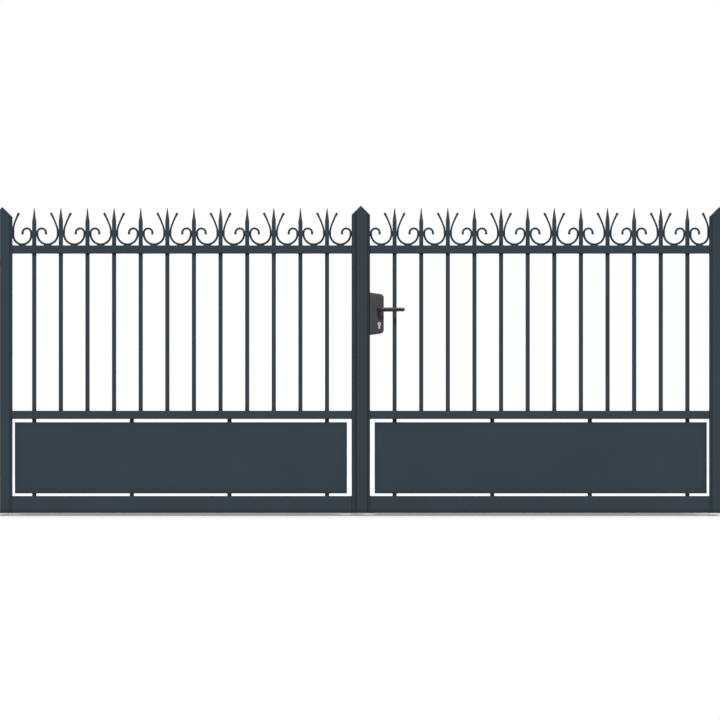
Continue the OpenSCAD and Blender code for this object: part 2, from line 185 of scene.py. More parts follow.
def swept(line, across, sections, closed=False):
    """Rings of a section carried along a line: ring = point + s1 * side + s2 * across, where side is the
    line's tangent crossed with the fixed direction across. The line is n by 3, the sections n by k by 2."""
    ahead = np.roll(line, -1, axis=0) - np.roll(line, 1, axis=0) if closed else np.gradient(line, axis=0)
    tangent = ahead / np.linalg.norm(ahead, axis=1, keepdims=True)
    side = np.cross(tangent, across)
    return line[:, None] + sections[..., :1] * side[:, None] + sections[..., 1:] * np.asarray(across, float)


def turned(profile, centre, axis, count=32):
    """Rings of a profile turned about an axis: for each profile point (radius, height), the ring is
    centre + height * axis + radius (cos a * u + sin a * v), where u and v are square to the axis."""
    axis = np.asarray(axis, float)
    u = np.cross(axis, (0.0, 0.0, 1.0) if abs(axis[2]) < 0.9 else (1.0, 0.0, 0.0))
    u /= np.linalg.norm(u)
    v = np.cross(axis, u)
    ring = circle(count)
    around = ring[:, :1] * u + ring[:, 1:] * v
    r, h = np.asarray(profile, float).T
    return np.asarray(centre) + h[:, None, None] * axis + r[:, None, None] * around


def bead(line, across, radius, pitch, closed=False, sides=8):
    """Rings of a weld bead: circles along the line whose radius swells and shrinks by an eighth as a sine of
    the length run. An open bead also thins out at its ends, by the root of 1 - |t|^6 with t from -1 to 1."""
    length = np.linalg.norm(np.diff(line, axis=0), axis=1).sum()
    run = np.linspace(0, 1, len(line), endpoint=not closed)
    waves = max(1, round(length / pitch))
    r = radius * (1 + np.sin(run * 2 * math.pi * waves) / 8)
    if not closed:
        r *= np.sqrt(np.clip(1 - np.abs(2 * run - 1) ** 6, 0.02, 1))
    return swept(line, across, r[:, None, None] * circle(sides), closed)


def grid_faces(rows, columns, closed_rows):
    """Quads of a grid that wraps round in its columns, and in its rows too if closed_rows."""
    i = np.arange(rows if closed_rows else rows - 1)[:, None]
    j = np.arange(columns)[None, :]
    ni, nj = (i + 1) % rows, (j + 1) % columns
    corners = [i * columns + j, i * columns + nj, ni * columns + nj, ni * columns + j]
    return np.stack(corners, axis=-1).reshape(-1, 4)


def volume_sign(rings, closed_rows):
    """Sign of each copy's volume: the sum over its quads of centre . (diagonal x diagonal)."""
    copies, rows, columns, _ = rings.shape
    points = rings.reshape(copies, rows * columns, 3)
    points = points - points.mean(axis=1, keepdims=True)
    q = points[:, grid_faces(rows, columns, closed_rows)]
    normal = np.cross(q[:, :, 2] - q[:, :, 0], q[:, :, 3] - q[:, :, 1])
    return np.sign(np.einsum("cfk,cfk->c", q.mean(axis=2), normal))


def linked(name, data):
    """A new object with its data, linked to the scene."""
    made = bpy.data.objects.new(name, data)
    bpy.context.scene.collection.objects.link(made)
    return made


def piece(name, parts, finish, body, sharp=40.0):
    """One closed mesh from a list of parts. A part is (rings, closed_rows), with rings an array of copies x
    rows x columns x 3. Columns wrap round, and rows too if closed_rows, or else the first and last row are
    closed by a flat face. Copies that would be inside out have their columns reversed. Edges of over sharp
    degrees aren't smoothed."""
    points, faces, start = [], [], 0
    for rings, closed_rows in parts:
        rings = rings if rings.ndim == 4 else rings[None]
        rings = np.where((volume_sign(rings, closed_rows) < 0)[:, None, None, None], rings[:, :, ::-1], rings)
        copies, rows, columns, _ = rings.shape
        each = rows * columns
        base = start + np.arange(copies)[:, None, None] * each
        faces += (grid_faces(rows, columns, closed_rows)[None] + base).reshape(-1, 4).tolist()
        if not closed_rows:
            around = np.arange(columns)
            caps = np.stack([around[::-1], each - columns + around])
            faces += (caps[None] + base).reshape(-1, columns).tolist()
        points.append(rings.reshape(-1, 3))
        start += copies * each
    mesh = bpy.data.meshes.new(name)
    mesh.from_pydata(np.concatenate(points).tolist(), [], faces)
    mesh.polygons.foreach_set("use_smooth", np.ones(len(mesh.polygons), bool))
    mesh.set_sharp_from_angle(angle=math.radians(sharp))
    mesh.materials.append(bpy.data.materials[finish + FINISH])
    made = linked(name, mesh)
    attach(made, body)
    return made


def copies_at(rings, places):
    """The same rings at each place, as one array of copies."""
    return rings[None] + np.asarray(places, float)[:, None, None, :]


# ---- where things are on the gate ----


def span(name, axis):
    """Lowest and highest coordinate of a CAD node along an axis, 0 to 2."""
    low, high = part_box(name)
    return low[axis], high[axis]


def bar_middles(side):
    """X of the middle of each bar of a leaf, from its closing stile to its hinge stile."""
    low, high = span(f"{side}_bars", 0)
    width = span(f"{side}_bars", 1)[1] * 2
    pitch = width + BAR_GAP
    count = round((high - low - width) / pitch) + 1
    middles = np.linspace(low + width / 2, high - width / 2, count)
    return middles if side == "right" else middles[::-1]


def gaps(side):
    """The gaps between a leaf's stiles and bars, each as its edges nearer the closing stile and the hinge."""
    half = span(f"{side}_bars", 1)[1]
    way = -LEAVES[side]   # from the closing stile towards the hinge stile
    ends = span(f"{side}_top_rail", 0)
    closing, hinge = ends if way > 0 else ends[::-1]
    middles = bar_middles(side)
    near = np.concatenate([[closing], middles + way * half])
    far = np.concatenate([middles - way * half, [hinge]])
    return np.stack([near, far], axis=1)


# ---- shader nodes ----


def node(tree, kind, inputs=None, **settings):
    """A new node with its settings made and its inputs linked or set."""
    made = tree.nodes.new(kind)
    for name, value in settings.items():
        setattr(made, name, value)
    for name, value in (inputs or {}).items():
        if isinstance(value, bpy.types.NodeSocket):
            tree.links.new(value, made.inputs[name])
        else:
            made.inputs[name].default_value = value
    return made


def maths(tree, operation, a, b=0.0, clamp=False):
    """Output of a Math node on a and b."""
    return node(tree, "ShaderNodeMath", {0: a, 1: b}, operation=operation, use_clamp=clamp).outputs[0]


def mixed(tree, factor, a, b):
    """Output of a colour Mix node."""
    return node(tree, "ShaderNodeMix", {0: factor, 6: a, 7: b}, data_type="RGBA").outputs[2]


def ranged(tree, value, low, high, to_low, to_high):
    """Output of a Map Range node that clamps."""
    return node(tree, "ShaderNodeMapRange", {0: value, 1: low, 2: high, 3: to_low, 4: to_high}).outputs[0]


def seen(tree):
    """Output that is 1 on what the camera, a reflection or glass shows, and 0 on what only scatters light."""
    path = node(tree, "ShaderNodeLightPath").outputs
    return maths(tree, "MAXIMUM", path["Is Camera Ray"],
                 maths(tree, "MAXIMUM", path["Is Glossy Ray"], path["Is Transmission Ray"]))


def new_group(name, inputs, outputs):
    """An empty shader node group with named sockets, its tree and its input and output nodes."""
    tree = bpy.data.node_groups.new(name, "ShaderNodeTree")
    for label, kind, default in inputs:
        socket = tree.interface.new_socket(label, in_out="INPUT", socket_type=kind)
        if default is not None:
            socket.default_value = default
    for label, kind in outputs:
        tree.interface.new_socket(label, in_out="OUTPUT", socket_type=kind)
    return tree, tree.nodes.new("NodeGroupInput"), tree.nodes.new("NodeGroupOutput")


def edge_group():
    """Worn edges: the normal rounded over a small radius, and a mask that grows where that normal leaves the
    flat one, broken up by fine noise."""
    tree, start, end = new_group(
        "Worn edges",
        [("Vector", "NodeSocketVector", None), ("Radius", "NodeSocketFloat", 2 * MM),
         ("Breakup Scale", "NodeSocketFloat", 90.0)],
        [("Edge", "NodeSocketFloat"), ("Normal", "NodeSocketVector")])
    rounded = node(tree, "ShaderNodeBevel", {"Radius": start.outputs["Radius"]}, samples=4).outputs[0]
    flat = node(tree, "ShaderNodeNewGeometry").outputs["Normal"]
    agree = node(tree, "ShaderNodeVectorMath", {0: rounded, 1: flat}, operation="DOT_PRODUCT")
    noise = node(tree, "ShaderNodeTexNoise",
                 {"Vector": start.outputs["Vector"], "Scale": start.outputs["Breakup Scale"], "Detail": 3.0})
    raw = ranged(tree, agree.outputs["Value"], 0.995, 0.85, 0.0, 1.0)
    mask = maths(tree, "MULTIPLY", raw, ranged(tree, noise.outputs["Fac"], 0.35, 0.65, 0.3, 1.0))
    tree.links.new(mask, end.inputs["Edge"])
    tree.links.new(rounded, end.inputs["Normal"])
    return tree


def film_group():
    """Unevenness of a coating: small ripples, large soft patches, and fine dust on what faces up."""
    tree, start, end = new_group(
        "Coating film",
        [("Vector", "NodeSocketVector", None), ("Ripple Scale", "NodeSocketFloat", 600.0),
         ("Patch Scale", "NodeSocketFloat", 2.5), ("Dust Scale", "NodeSocketFloat", 60.0)],
        [("Ripple", "NodeSocketFloat"), ("Patch", "NodeSocketFloat"), ("Dust", "NodeSocketFloat")])
    vector = start.outputs["Vector"]
    ripple = node(tree, "ShaderNodeTexNoise",
                  {"Vector": vector, "Scale": start.outputs["Ripple Scale"], "Detail": 1.0, "Roughness": 0.4})
    patch = node(tree, "ShaderNodeTexNoise",
                 {"Vector": vector, "Scale": start.outputs["Patch Scale"], "Detail": 3.0, "Roughness": 0.55})
    dust = node(tree, "ShaderNodeTexNoise",
                {"Vector": vector, "Scale": start.outputs["Dust Scale"], "Detail": 6.0, "Roughness": 0.7})
    normal = node(tree, "ShaderNodeNewGeometry").outputs["Normal"]
    up = node(tree, "ShaderNodeSeparateXYZ", {0: normal}).outputs[2]
    settled = maths(tree, "MULTIPLY", ranged(tree, up, 0.5, 1.0, 0.0, 1.0),
                    ranged(tree, dust.outputs["Fac"], 0.4, 0.75, 0.0, 1.0))
    tree.links.new(ripple.outputs["Fac"], end.inputs["Ripple"])
    tree.links.new(ranged(tree, patch.outputs["Fac"], 0.3, 0.7, 0.0, 1.0), end.inputs["Patch"])
    tree.links.new(settled, end.inputs["Dust"])
    return tree


def corner_group():
    """Painted corner shade: a mask that grows where other faces stand close, as beside a rail or under a strip,
    used to darken a colour there as if shade fell on it. It is 1 less the open share of the sky raised to the
    contrast."""
    tree, start, end = new_group(
        "Shaded corners", [("Reach", "NodeSocketFloat", 30 * MM), ("Contrast", "NodeSocketFloat", 4.0)],
        [("Corner", "NodeSocketFloat")])
    sky = node(tree, "ShaderNodeAmbientOcclusion", {"Distance": start.outputs["Reach"]}, samples=8)
    open_share = maths(tree, "POWER", sky.outputs["AO"], start.outputs["Contrast"])
    tree.links.new(maths(tree, "SUBTRACT", 1.0, open_share, clamp=True), end.inputs["Corner"])
    return tree


def brush_group():
    """Brushed or drawn metal: long thin streaks along one direction, with scattered deeper scratches."""
    tree, start, end = new_group(
        "Brushed metal",
        [("Vector", "NodeSocketVector", None), ("Streak Scale", "NodeSocketFloat", 400.0)],
        [("Streak", "NodeSocketFloat"), ("Scratch", "NodeSocketFloat")])
    stretched = node(tree, "ShaderNodeMapping",
                     {"Vector": start.outputs["Vector"], "Scale": (1.0, 1.0, 0.04)}).outputs[0]
    streak = node(tree, "ShaderNodeTexNoise",
                  {"Vector": stretched, "Scale": start.outputs["Streak Scale"], "Detail": 4.0})
    scratch = node(tree, "ShaderNodeTexNoise", {"Vector": stretched, "Scale": 1900.0, "Detail": 1.0})
    tree.links.new(streak.outputs["Fac"], end.inputs["Streak"])
    tree.links.new(ranged(tree, scratch.outputs["Fac"], 0.66, 0.74, 0.0, 1.0), end.inputs["Scratch"])
    return tree


def placed(tree, group, inputs):
    """Outputs of a node of that group, with its inputs linked or set."""
    return node(tree, "ShaderNodeGroup", inputs, node_tree=bpy.data.node_groups[group]).outputs


def new_material(slot):
    """A new material for a slot: its tree, its Principled BSDF, and the Object coordinates."""
    material = bpy.data.materials.new(slot + FINISH)
    material.use_nodes = True
    tree = material.node_tree
    tree.nodes.clear()
    shader = tree.nodes.new("ShaderNodeBsdfPrincipled")
    output = tree.nodes.new("ShaderNodeOutputMaterial")
    tree.links.new(shader.outputs[0], output.inputs[0])
    vector = tree.nodes.new("ShaderNodeTexCoord").outputs["Object"]
    return tree, shader, vector


def tint(color, factor):
    """A colour made lighter or darker by a factor, with full alpha."""
    return (*(min(1.0, channel * factor) for channel in color), 1.0)


def powder_coat(finishes):
    """Satin powder coat: orange peel, soft patches, lighter edges, painted corner shade and a trace of dust."""
    tree, shader, vector = new_material("powder_coat")
    film = placed(tree, "Coating film", {"Vector": vector, "Ripple Scale": 1 / finishes.peel_size})
    edges = placed(tree, "Worn edges", {"Vector": vector, "Radius": 1.6 * MM})
    color = finishes.coat_color
    base = mixed(tree, film["Patch"], tint(color, 0.93), tint(color, 1.07))
    base = mixed(tree, maths(tree, "MULTIPLY", edges["Edge"], 0.15), base, tint(color, 1.7))
    # painted shade: the colour goes towards a darker copy of itself where other faces stand close
    corners = placed(tree, "Shaded corners", {"Reach": 45 * MM, "Contrast": 4.5})
    base = mixed(tree, corners["Corner"], base, tint(color, 0.45))
    base = mixed(tree, maths(tree, "MULTIPLY", film["Dust"], 0.08), base, (0.32, 0.30, 0.27, 1))
    rough = ranged(tree, film["Patch"], 0, 1, finishes.coat_roughness - 0.03, finishes.coat_roughness + 0.05)
    rough = maths(tree, "ADD", rough, maths(tree, "MULTIPLY", film["Dust"], 0.25), clamp=True)
    bump = node(tree, "ShaderNodeBump", {"Strength": 0.35, "Distance": 0.06 * MM, "Height": film["Ripple"],
                                         "Normal": edges["Normal"]})
    tree.links.new(base, shader.inputs["Base Color"])
    tree.links.new(rough, shader.inputs["Roughness"])
    tree.links.new(bump.outputs[0], shader.inputs["Normal"])
    shader.inputs["Specular IOR Level"].default_value = 0.15


def zinc(finishes):
    """Bright zinc plating: small crystal patches, dull mottling, and worn bright edges."""
    tree, shader, vector = new_material("hinge_zinc")
    edges = placed(tree, "Worn edges", {"Vector": vector, "Radius": 1.2 * MM})
    crystals = node(tree, "ShaderNodeTexVoronoi", {"Vector": vector, "Scale": 160.0})
    mottle = node(tree, "ShaderNodeTexNoise", {"Vector": vector, "Scale": 35.0, "Detail": 5.0})
    color = finishes.zinc_color
    shade = node(tree, "ShaderNodeSeparateXYZ", {0: crystals.outputs["Color"]}).outputs[0]
    base = mixed(tree, shade, tint(color, 0.85), tint(color, 1.1))
    base = mixed(tree, ranged(tree, mottle.outputs["Fac"], 0.45, 0.7, 0, 0.5), base, (0.30, 0.29, 0.26, 1))
    base = mixed(tree, maths(tree, "MULTIPLY", edges["Edge"], 0.5), base, tint(color, 1.5))
    rough = maths(tree, "ADD", ranged(tree, shade, 0, 1, 0.30, 0.42),
                  ranged(tree, mottle.outputs["Fac"], 0.45, 0.7, 0, 0.15), clamp=True)
    tree.links.new(base, shader.inputs["Base Color"])
    tree.links.new(rough, shader.inputs["Roughness"])
    tree.links.new(edges["Normal"], shader.inputs["Normal"])
    shader.inputs["Metallic"].default_value = 1.0


def lock_cover(finishes):
    """Moulded cover: fine spark-eroded grain with paler rubbed edges."""
    tree, shader, vector = new_material("lock_cover")
    edges = placed(tree, "Worn edges", {"Vector": vector, "Radius": 1.0 * MM, "Breakup Scale": 260.0})
    film = placed(tree, "Coating film", {"Vector": vector, "Ripple Scale": 1900.0, "Patch Scale": 14.0})
    color = finishes.cover_color
    base = mixed(tree, film["Patch"], tint(color, 0.9), tint(color, 1.1))
    base = mixed(tree, maths(tree, "MULTIPLY", edges["Edge"], 0.35), base, tint(color, 1.8))
    bump = node(tree, "ShaderNodeBump", {"Strength": 0.5, "Distance": 0.05 * MM, "Height": film["Ripple"],
                                         "Normal": edges["Normal"]})
    tree.links.new(base, shader.inputs["Base Color"])
    tree.links.new(ranged(tree, film["Patch"], 0, 1, 0.48, 0.6), shader.inputs["Roughness"])
    tree.links.new(bump.outputs[0], shader.inputs["Normal"])
    shader.inputs["Specular IOR Level"].default_value = 0.22


def lever_grip(finishes):
    """Smooth dark lever, a little glossier where hands polish it."""
    tree, shader, vector = new_material("lever_grip")
    film = placed(tree, "Coating film", {"Vector": vector, "Ripple Scale": 500.0, "Patch Scale": 22.0})
    color = finishes.grip_color
    base = mixed(tree, film["Patch"], tint(color, 0.8), tint(color, 1.3))
    tree.links.new(base, shader.inputs["Base Color"])
    tree.links.new(ranged(tree, film["Patch"], 0, 1, 0.27, 0.4), shader.inputs["Roughness"])
    bump = node(tree, "ShaderNodeBump", {"Strength": 0.2, "Distance": 0.03 * MM, "Height": film["Ripple"]})
    tree.links.new(bump.outputs[0], shader.inputs["Normal"])
    shader.inputs["Specular IOR Level"].default_value = 0.35


def nickel(finishes):
    """Satin nickel: upright brushing with a few deeper scratches."""
    tree, shader, vector = new_material("nickel")
    brush = placed(tree, "Brushed metal", {"Vector": vector})
    edges = placed(tree, "Worn edges", {"Vector": vector, "Radius": 0.6 * MM, "Breakup Scale": 400.0})
    color = finishes.nickel_color
    base = mixed(tree, brush["Streak"], tint(color, 0.85), tint(color, 1.12))
    tree.links.new(mixed(tree, maths(tree, "MULTIPLY", brush["Scratch"], 0.3), base, tint(color, 0.5)),
                   shader.inputs["Base Color"])
    tree.links.new(ranged(tree, brush["Streak"], 0.3, 0.7, 0.24, 0.40), shader.inputs["Roughness"])
    bump = node(tree, "ShaderNodeBump", {"Strength": 0.25, "Distance": 0.02 * MM, "Height": brush["Streak"],
                                         "Normal": edges["Normal"]})
    tree.links.new(bump.outputs[0], shader.inputs["Normal"])
    shader.inputs["Metallic"].default_value = 1.0


# ---- operators ----


class GATE_OT_finishes(Operator):
    """Make the finishes and give each piece of the frame its own"""

    bl_idname = "gate.finishes"
    bl_label = "Finishes"

    def execute(self, context):
        finishes = context.scene.gate_finishes
        for make in (edge_group, film_group, corner_group, brush_group):
            make()
        for make in (powder_coat, zinc, lock_cover, lever_grip, nickel):
            make(finishes)
        for part in frame["record"]["subparts"]:
            finish = bpy.data.materials[part["material_slot"] + FINISH]
            carried = frame["nodes"][part["node"]]
            for slot in carried.material_slots:
                slot.material = finish
        return {"FINISHED"}


class GATE_OT_scrolls(Operator):
    """Make the scrolls over the top rails, one strip bent to a loop, a curl and a flare in each gap"""

    bl_idname = "gate.scrolls"
    bl_label = "Scrolls"

    seat = 0.2 * MM   # air between a strip and what it is welded to
    corner = 1.6 * MM   # corner radius of the strip
    curl_rise = 62 * MM   # from the rail up to the middle of the curl
    curl_start = -24   # where on its circle the curl starts, in degrees
    last_lift = 14 * MM   # how much higher the flare starts beside the hinge stile
    turn_radius = 100 * MM   # the two arcs of the flare
    turn_angle = 20
    flare_radius = 460 * MM
    top_room = 2 * MM   # under the highest point that the frame gives the scrolls
    rings = 150

    def line(self, width, low, top, lift, details):
        """A scroll's line in a gap that starts at x = 0: half a circle that fits the gap and stands on the
        rail, with the curl's circle over its start and two wide arcs that lean inwards over its end."""
        thickness = details.scroll_thickness
        curl_radius = details.curl_radius
        middle = low + self.curl_rise
        loop_radius = (width - thickness) / 2 - self.seat
        start = width / 2 - loop_radius
        end = width / 2 + loop_radius
        lean = math.radians(self.turn_angle)
        turn_centre = np.array([end - self.turn_radius, middle + lift])
        outwards = np.array([math.cos(lean), math.sin(lean)])
        flare_centre = turn_centre + (self.turn_radius - self.flare_radius) * outwards
        flare_end = math.degrees(math.asin((top - flare_centre[1]) / self.flare_radius))
        parts = [arc((start + curl_radius, middle), curl_radius, self.curl_start, 180, 60),
                 arc((width / 2, low + loop_radius + thickness / 2 + self.seat), loop_radius, 180, 360, 80),
                 arc(turn_centre, self.turn_radius, 0, self.turn_angle, 20),
                 arc(flare_centre, self.flare_radius, self.turn_angle + 0.5, flare_end, 16)]
        return even_line(np.concatenate(parts), self.rings)

    def scale(self):
        """Shares of the strip's thickness and depth along its run: thicker at the curl's end and a little at
        the flare's, thinner half way up the flare, and rounded off at both ends."""
        run = np.linspace(0, 1, self.rings)
        swell = 1 + 0.32 * hump(run, 0, 0.022) + 0.22 * hump(run, 1, 0.04) - 0.14 * hump(run, 0.84, 0.1)
        ends = np.maximum(quarter_round(np.minimum(run, 1 - run), 0.008), math.sqrt(0.12))
        return np.stack([swell * ends, ends], axis=-1)

    def execute(self, context):
        details = context.scene.gate_details
        for side in LEAVES:
            rail_top = span(f"{side}_top_rail", 2)[1]
            depth = span(f"{side}_scrolls", 1)[1] * 2
            top = span(f"{side}_scrolls", 2)[1] - self.top_room
            section = rounded_rectangle(details.scroll_thickness, depth, self.corner)
            sections = section * self.scale()[:, None]
            copies = []
            edges = gaps(side)
            for k, (near, far) in enumerate(edges):
                lift = self.last_lift if k == len(edges) - 1 else 0
                flat = self.line(abs(far - near), rail_top, top, lift, details)
                start, end = (far, near) if k % 2 else (near, far)
                x = start + flat[:, 0] * np.sign(end - start)
                points = np.stack([x, np.zeros_like(x), flat[:, 1]], axis=-1)
                copies.append(swept(points, THROUGH, sections))
            strips = (np.stack(copies), False)
            made = piece(f"{side}_scroll_strips", [strips], "powder_coat", f"{side}_leaf", 50)
            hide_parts(f"{side}_scrolls")
        return {"FINISHED"}


class GATE_OT_welds(Operator):
    """Make the weld beads that join bars, rails, stiles, spacers and scrolls, painted over like the rest"""

    bl_idname = "gate.welds"
    bl_label = "Welds"

    seam_short = 6 * MM   # how much shorter a rail's end bead is than the rail is deep
    foot_rise = 0.6 * MM   # from the rail up to the bead under a scroll's loop
    foot_length = 38 * MM
    touch_rise = 58 * MM   # from the rail up to where a scroll touches a bar or stile
    touch_length = 26 * MM
    post_stretch = np.array([1, 1, 1.4])   # a post's bead is taller than it is wide

    def loop(self, width, depth, details, count):
        """A level bead round a rounded rectangle."""
        corner = min(details.section_radius, width / 3)
        flat = even_line(rounded_rectangle(width, depth, corner), count, closed=True)
        line = np.column_stack([flat, np.zeros(count)])
        return bead(line, UP, details.weld_radius, details.weld_pitch, closed=True)

    def stitch(self, length, axis, across, details, share=1.0):
        """A short straight bead along an axis, 0 to 2, with a share of the usual radius."""
        line = np.zeros((20, 3))
        line[:, axis] = np.linspace(-length / 2, length / 2, 20)
        return bead(line, across, details.weld_radius * share, details.weld_pitch)

    def leaf(self, side, details):
        """All beads of one leaf: round the bars and spacers, across the rails' ends, and at the scrolls."""
        middles = bar_middles(side)
        bar = span(f"{side}_bars", 1)[1] * 2
        levels = [span(f"{side}_mid_rail", 2)[1], *span(f"{side}_top_rail", 2)]
        bar_places = [(x, 0, z) for z in levels for x in middles]
        low_y, high_y = span(f"{side}_top_rail", 1)
        seam = self.stitch(high_y - low_y - self.seam_short, 1, UP, details)
        seam_places = [(x, 0, z) for rail in ("top_rail", "mid_rail", "bottom_rail")
                       for x in span(f"{side}_{rail}", 0) for z in span(f"{side}_{rail}", 2)]
        spacer_depth = span(f"{side}_panel_spacers", 1)[1] * 2
        spacer_levels = (span(f"{side}_bottom_rail", 2)[1], *span(f"{side}_panel", 2),
                         span(f"{side}_mid_rail", 2)[0])
        spacer_xs = np.linspace(middles[0], middles[-1], SPACERS)
        spacer_places = [(x, 0, z) for x in spacer_xs for z in spacer_levels]
        return [(copies_at(self.loop(bar, bar, details, 72), bar_places), True),
                (copies_at(seam, seam_places), False),
                (copies_at(self.loop(SPACER_WIDTH, spacer_depth, details, 60), spacer_places), True),
                *self.scroll_stitches(side, details)]

    def scroll_stitches(self, side, details):
        """Beads that hold each scroll: under its loop on the rail, and where it touches a bar or stile."""
        faces = span(f"{side}_scrolls", 1)
        rail_top = span(f"{side}_top_rail", 2)[1]
        edges = gaps(side)
        feet = [((near + far) / 2, y, rail_top + self.foot_rise) for near, far in edges for y in faces]
        touches = [(x, y, rail_top + self.touch_rise) for pair in edges for x in pair for y in faces]
        return [(copies_at(self.stitch(self.foot_length, 0, UP, details, 1.2), feet), False),
                (copies_at(self.stitch(self.touch_length, 2, (1, 0, 0), details, 0.9), touches), False)]

    def execute(self, context):
        details = context.scene.gate_details
        for side in LEAVES:
            piece(f"{side}_leaf_welds", self.leaf(side, details), "powder_coat", f"{side}_leaf", 80)
            low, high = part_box(f"{side}_post")
            ring = self.loop(high[0] - low[0], high[1] - low[1], details, 400) * self.post_stretch
            foot = copies_at(ring, [((low[0] + high[0]) / 2, 0, low[2])])
            piece(f"{side}_post_weld", [(foot, True)], "powder_coat", "posts", 80)
        return {"FINISHED"}


class GATE_OT_lock(Operator):
    """Make the lock's covers, the collars of the levers, the key cylinder's rims and plugs, and the screws"""

    bl_idname = "gate.lock"
    bl_label = "Lock"

    slope = math.tan(math.radians(8))   # of a cover's top and bottom edge
    corner = 16 * MM   # width of a cover's rounded corner
    corner_drop = 0.9   # height of that corner, as a share of its width
    wall = 3.2 * MM   # height of a cover's edge
    rise = 4.8 * MM   # from there up to its flat middle
    edge = 14 * MM   # width of the rounded edge
    straight = 0.7   # share of a cover's width in even steps, before the finer steps round its corners
    head_radius = 10.4 * MM   # the rim's round head, its stem and the distance down to the stem's foot
    stem_radius = 6.8 * MM
    stem_drop = 26 * MM
    rim_radius = 1.5 * MM   # of the bead that makes the rim
    plug_radius = 6.5 * MM
    rim_wave = 1.0   # longer than the rim, whose bead so swells only once on its way round
    plug_wave = 1.0 * MM   # fine ripples on the plug's edge
    plug_bead = 0.35 * MM
    collar = MM * np.array([(0.2, -3), (13, -3), (13, 1.6), (12, 2.8), (9.4, 3.4), (8.4, 3.4), (8.4, 1),
                            (0.2, 1)])
    screw_head = MM * np.array([(2.0, -2.0), (4.2, -2.0), (4.2, 0.2), (3.8, 0.8), (2.8, 1.2), (1.9, 1.25),
                                (1.75, 1.1), (1.75, -1.0), (2.0, -2.0)])
    screw_socket = MM * np.array([(0.1, -2.0), (1.9, -2.0), (1.9, -0.6), (0.1, -0.6)])
    screw_inset = 24 * MM   # from a cover's top or bottom to a screw
    screw_share = 0.45   # where the screws lie across a cover

    def cover(self, name, inner, facing):
        """A pillow-shaped shell. At width x its half height falls in a straight slope, then in a quarter
        ellipse to the side. Over the flat back it stands a wall's height plus a rise that is the product of
        two quarter ellipses of the distances to the side and to the top or bottom edge."""
        (x0, x1), (z0, z1) = span(name, 0), span(name, 2)
        width, half = x1 - x0, (z1 - z0) / 2
        run = np.concatenate([np.linspace(0, self.straight, 14, endpoint=False),
                              self.straight + (1 - self.straight) * np.sin(np.linspace(0, math.pi / 2, 26))])
        x = run * width
        past = np.clip((x - (width - self.corner)) / self.corner, 0, 1)
        height = half - self.slope * x - self.corner * (1 - np.sqrt(1 - past ** 2)) * self.corner_drop
        v = np.sin(np.linspace(-math.pi / 2, math.pi / 2, 61))
        to_side = (width - x)[:, None]
        to_edge = (1 - np.abs(v))[None] * height[:, None]
        lift = self.wall + self.rise * quarter_round(to_side, self.edge) * quarter_round(to_edge, self.edge)
        z = (z0 + z1) / 2 + height[:, None] * v[None]
        across = np.broadcast_to(x0 + x[:, None], z.shape)
        front = np.stack([across, inner + facing * lift, z], axis=-1)
        back = np.stack([across, np.full_like(z, inner), z], axis=-1)[:, ::-1]
        return np.concatenate([front, back], axis=1)

    def upright_bead(self, flat, centre, y, facing, radius, wave):
        """A bead along a closed line in the upright plane at y."""
        line = np.stack([centre[0] + flat[:, 0], np.full(len(flat), y), centre[1] + flat[:, 1]], axis=-1)
        return bead(line, (0, facing, 0), radius, wave, closed=True)

    def rim(self):
        """The cylinder's outline, widened: a round head and a narrower stem that ends in half a circle."""
        meet = math.degrees(math.asin(self.stem_radius / self.head_radius))
        foot = (0, self.stem_radius - self.stem_drop)
        outline = np.concatenate([arc((0, 0), self.head_radius, -90 + meet, 270 - meet, 40),
                                  arc(foot, self.stem_radius, 180, 360, 24)])
        return even_line(outline, 120, closed=True)

    def execute(self, context):
        spindle_low, spindle_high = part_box("lever_spindle")
        centre = (spindle_low + spindle_high) / 2
        cylinder_low, cylinder_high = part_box("key_cylinder")
        head = (cylinder_high[0] - cylinder_low[0]) / 2
        key = ((cylinder_low[0] + cylinder_high[0]) / 2, cylinder_high[2] - head)
        for where, facing in FACES.items():
            name = f"lock_cover_{where}"
            low, high = span(name, 1)
            inner, outer = (high, low) if facing < 0 else (low, high)
            shell = piece(f"lock_shell_{where}", [(self.cover(name, inner, facing), False)], "lock_cover",
                          "right_leaf", 50)
            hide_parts(name)
            rim = self.upright_bead(self.rim(), key, outer, facing, self.rim_radius, self.rim_wave)
            piece(f"cylinder_rim_{where}", [(rim, True)], "lock_cover", "right_leaf")
            rings = turned(self.collar, (centre[0], outer, centre[2]), (0, facing, 0), 48)
            piece(f"lever_collar_{where}", [(rings, False)], "lever_grip", "right_leaf")
            face = cylinder_low[1] if facing < 0 else cylinder_high[1]
            edge = self.plug_radius * circle(72)
            plug = self.upright_bead(edge, key, face, facing, self.plug_bead, self.plug_wave)
            piece(f"cylinder_plug_{where}", [(plug, True)], "nickel", "right_leaf")
        self.screws()
        return {"FINISHED"}

    def screws(self):
        """Two domed screw heads with a hexagon socket on the back cover."""
        x0, x1 = span("lock_cover_back", 0)
        z0, z1 = span("lock_cover_back", 2)
        x = x0 + (x1 - x0) * self.screw_share
        y = span("lock_cover_back", 1)[1]
        places = [(x, y, z0 + self.screw_inset), (x, y, z1 - self.screw_inset)]
        head = turned(self.screw_head, (0, 0, 0), THROUGH, 36)
        socket = turned(self.screw_socket, (0, 0, 0), THROUGH, 6)
        piece("cover_screws", [(copies_at(head, places), False), (copies_at(socket, places), False)],
              "nickel", "right_leaf", 35)


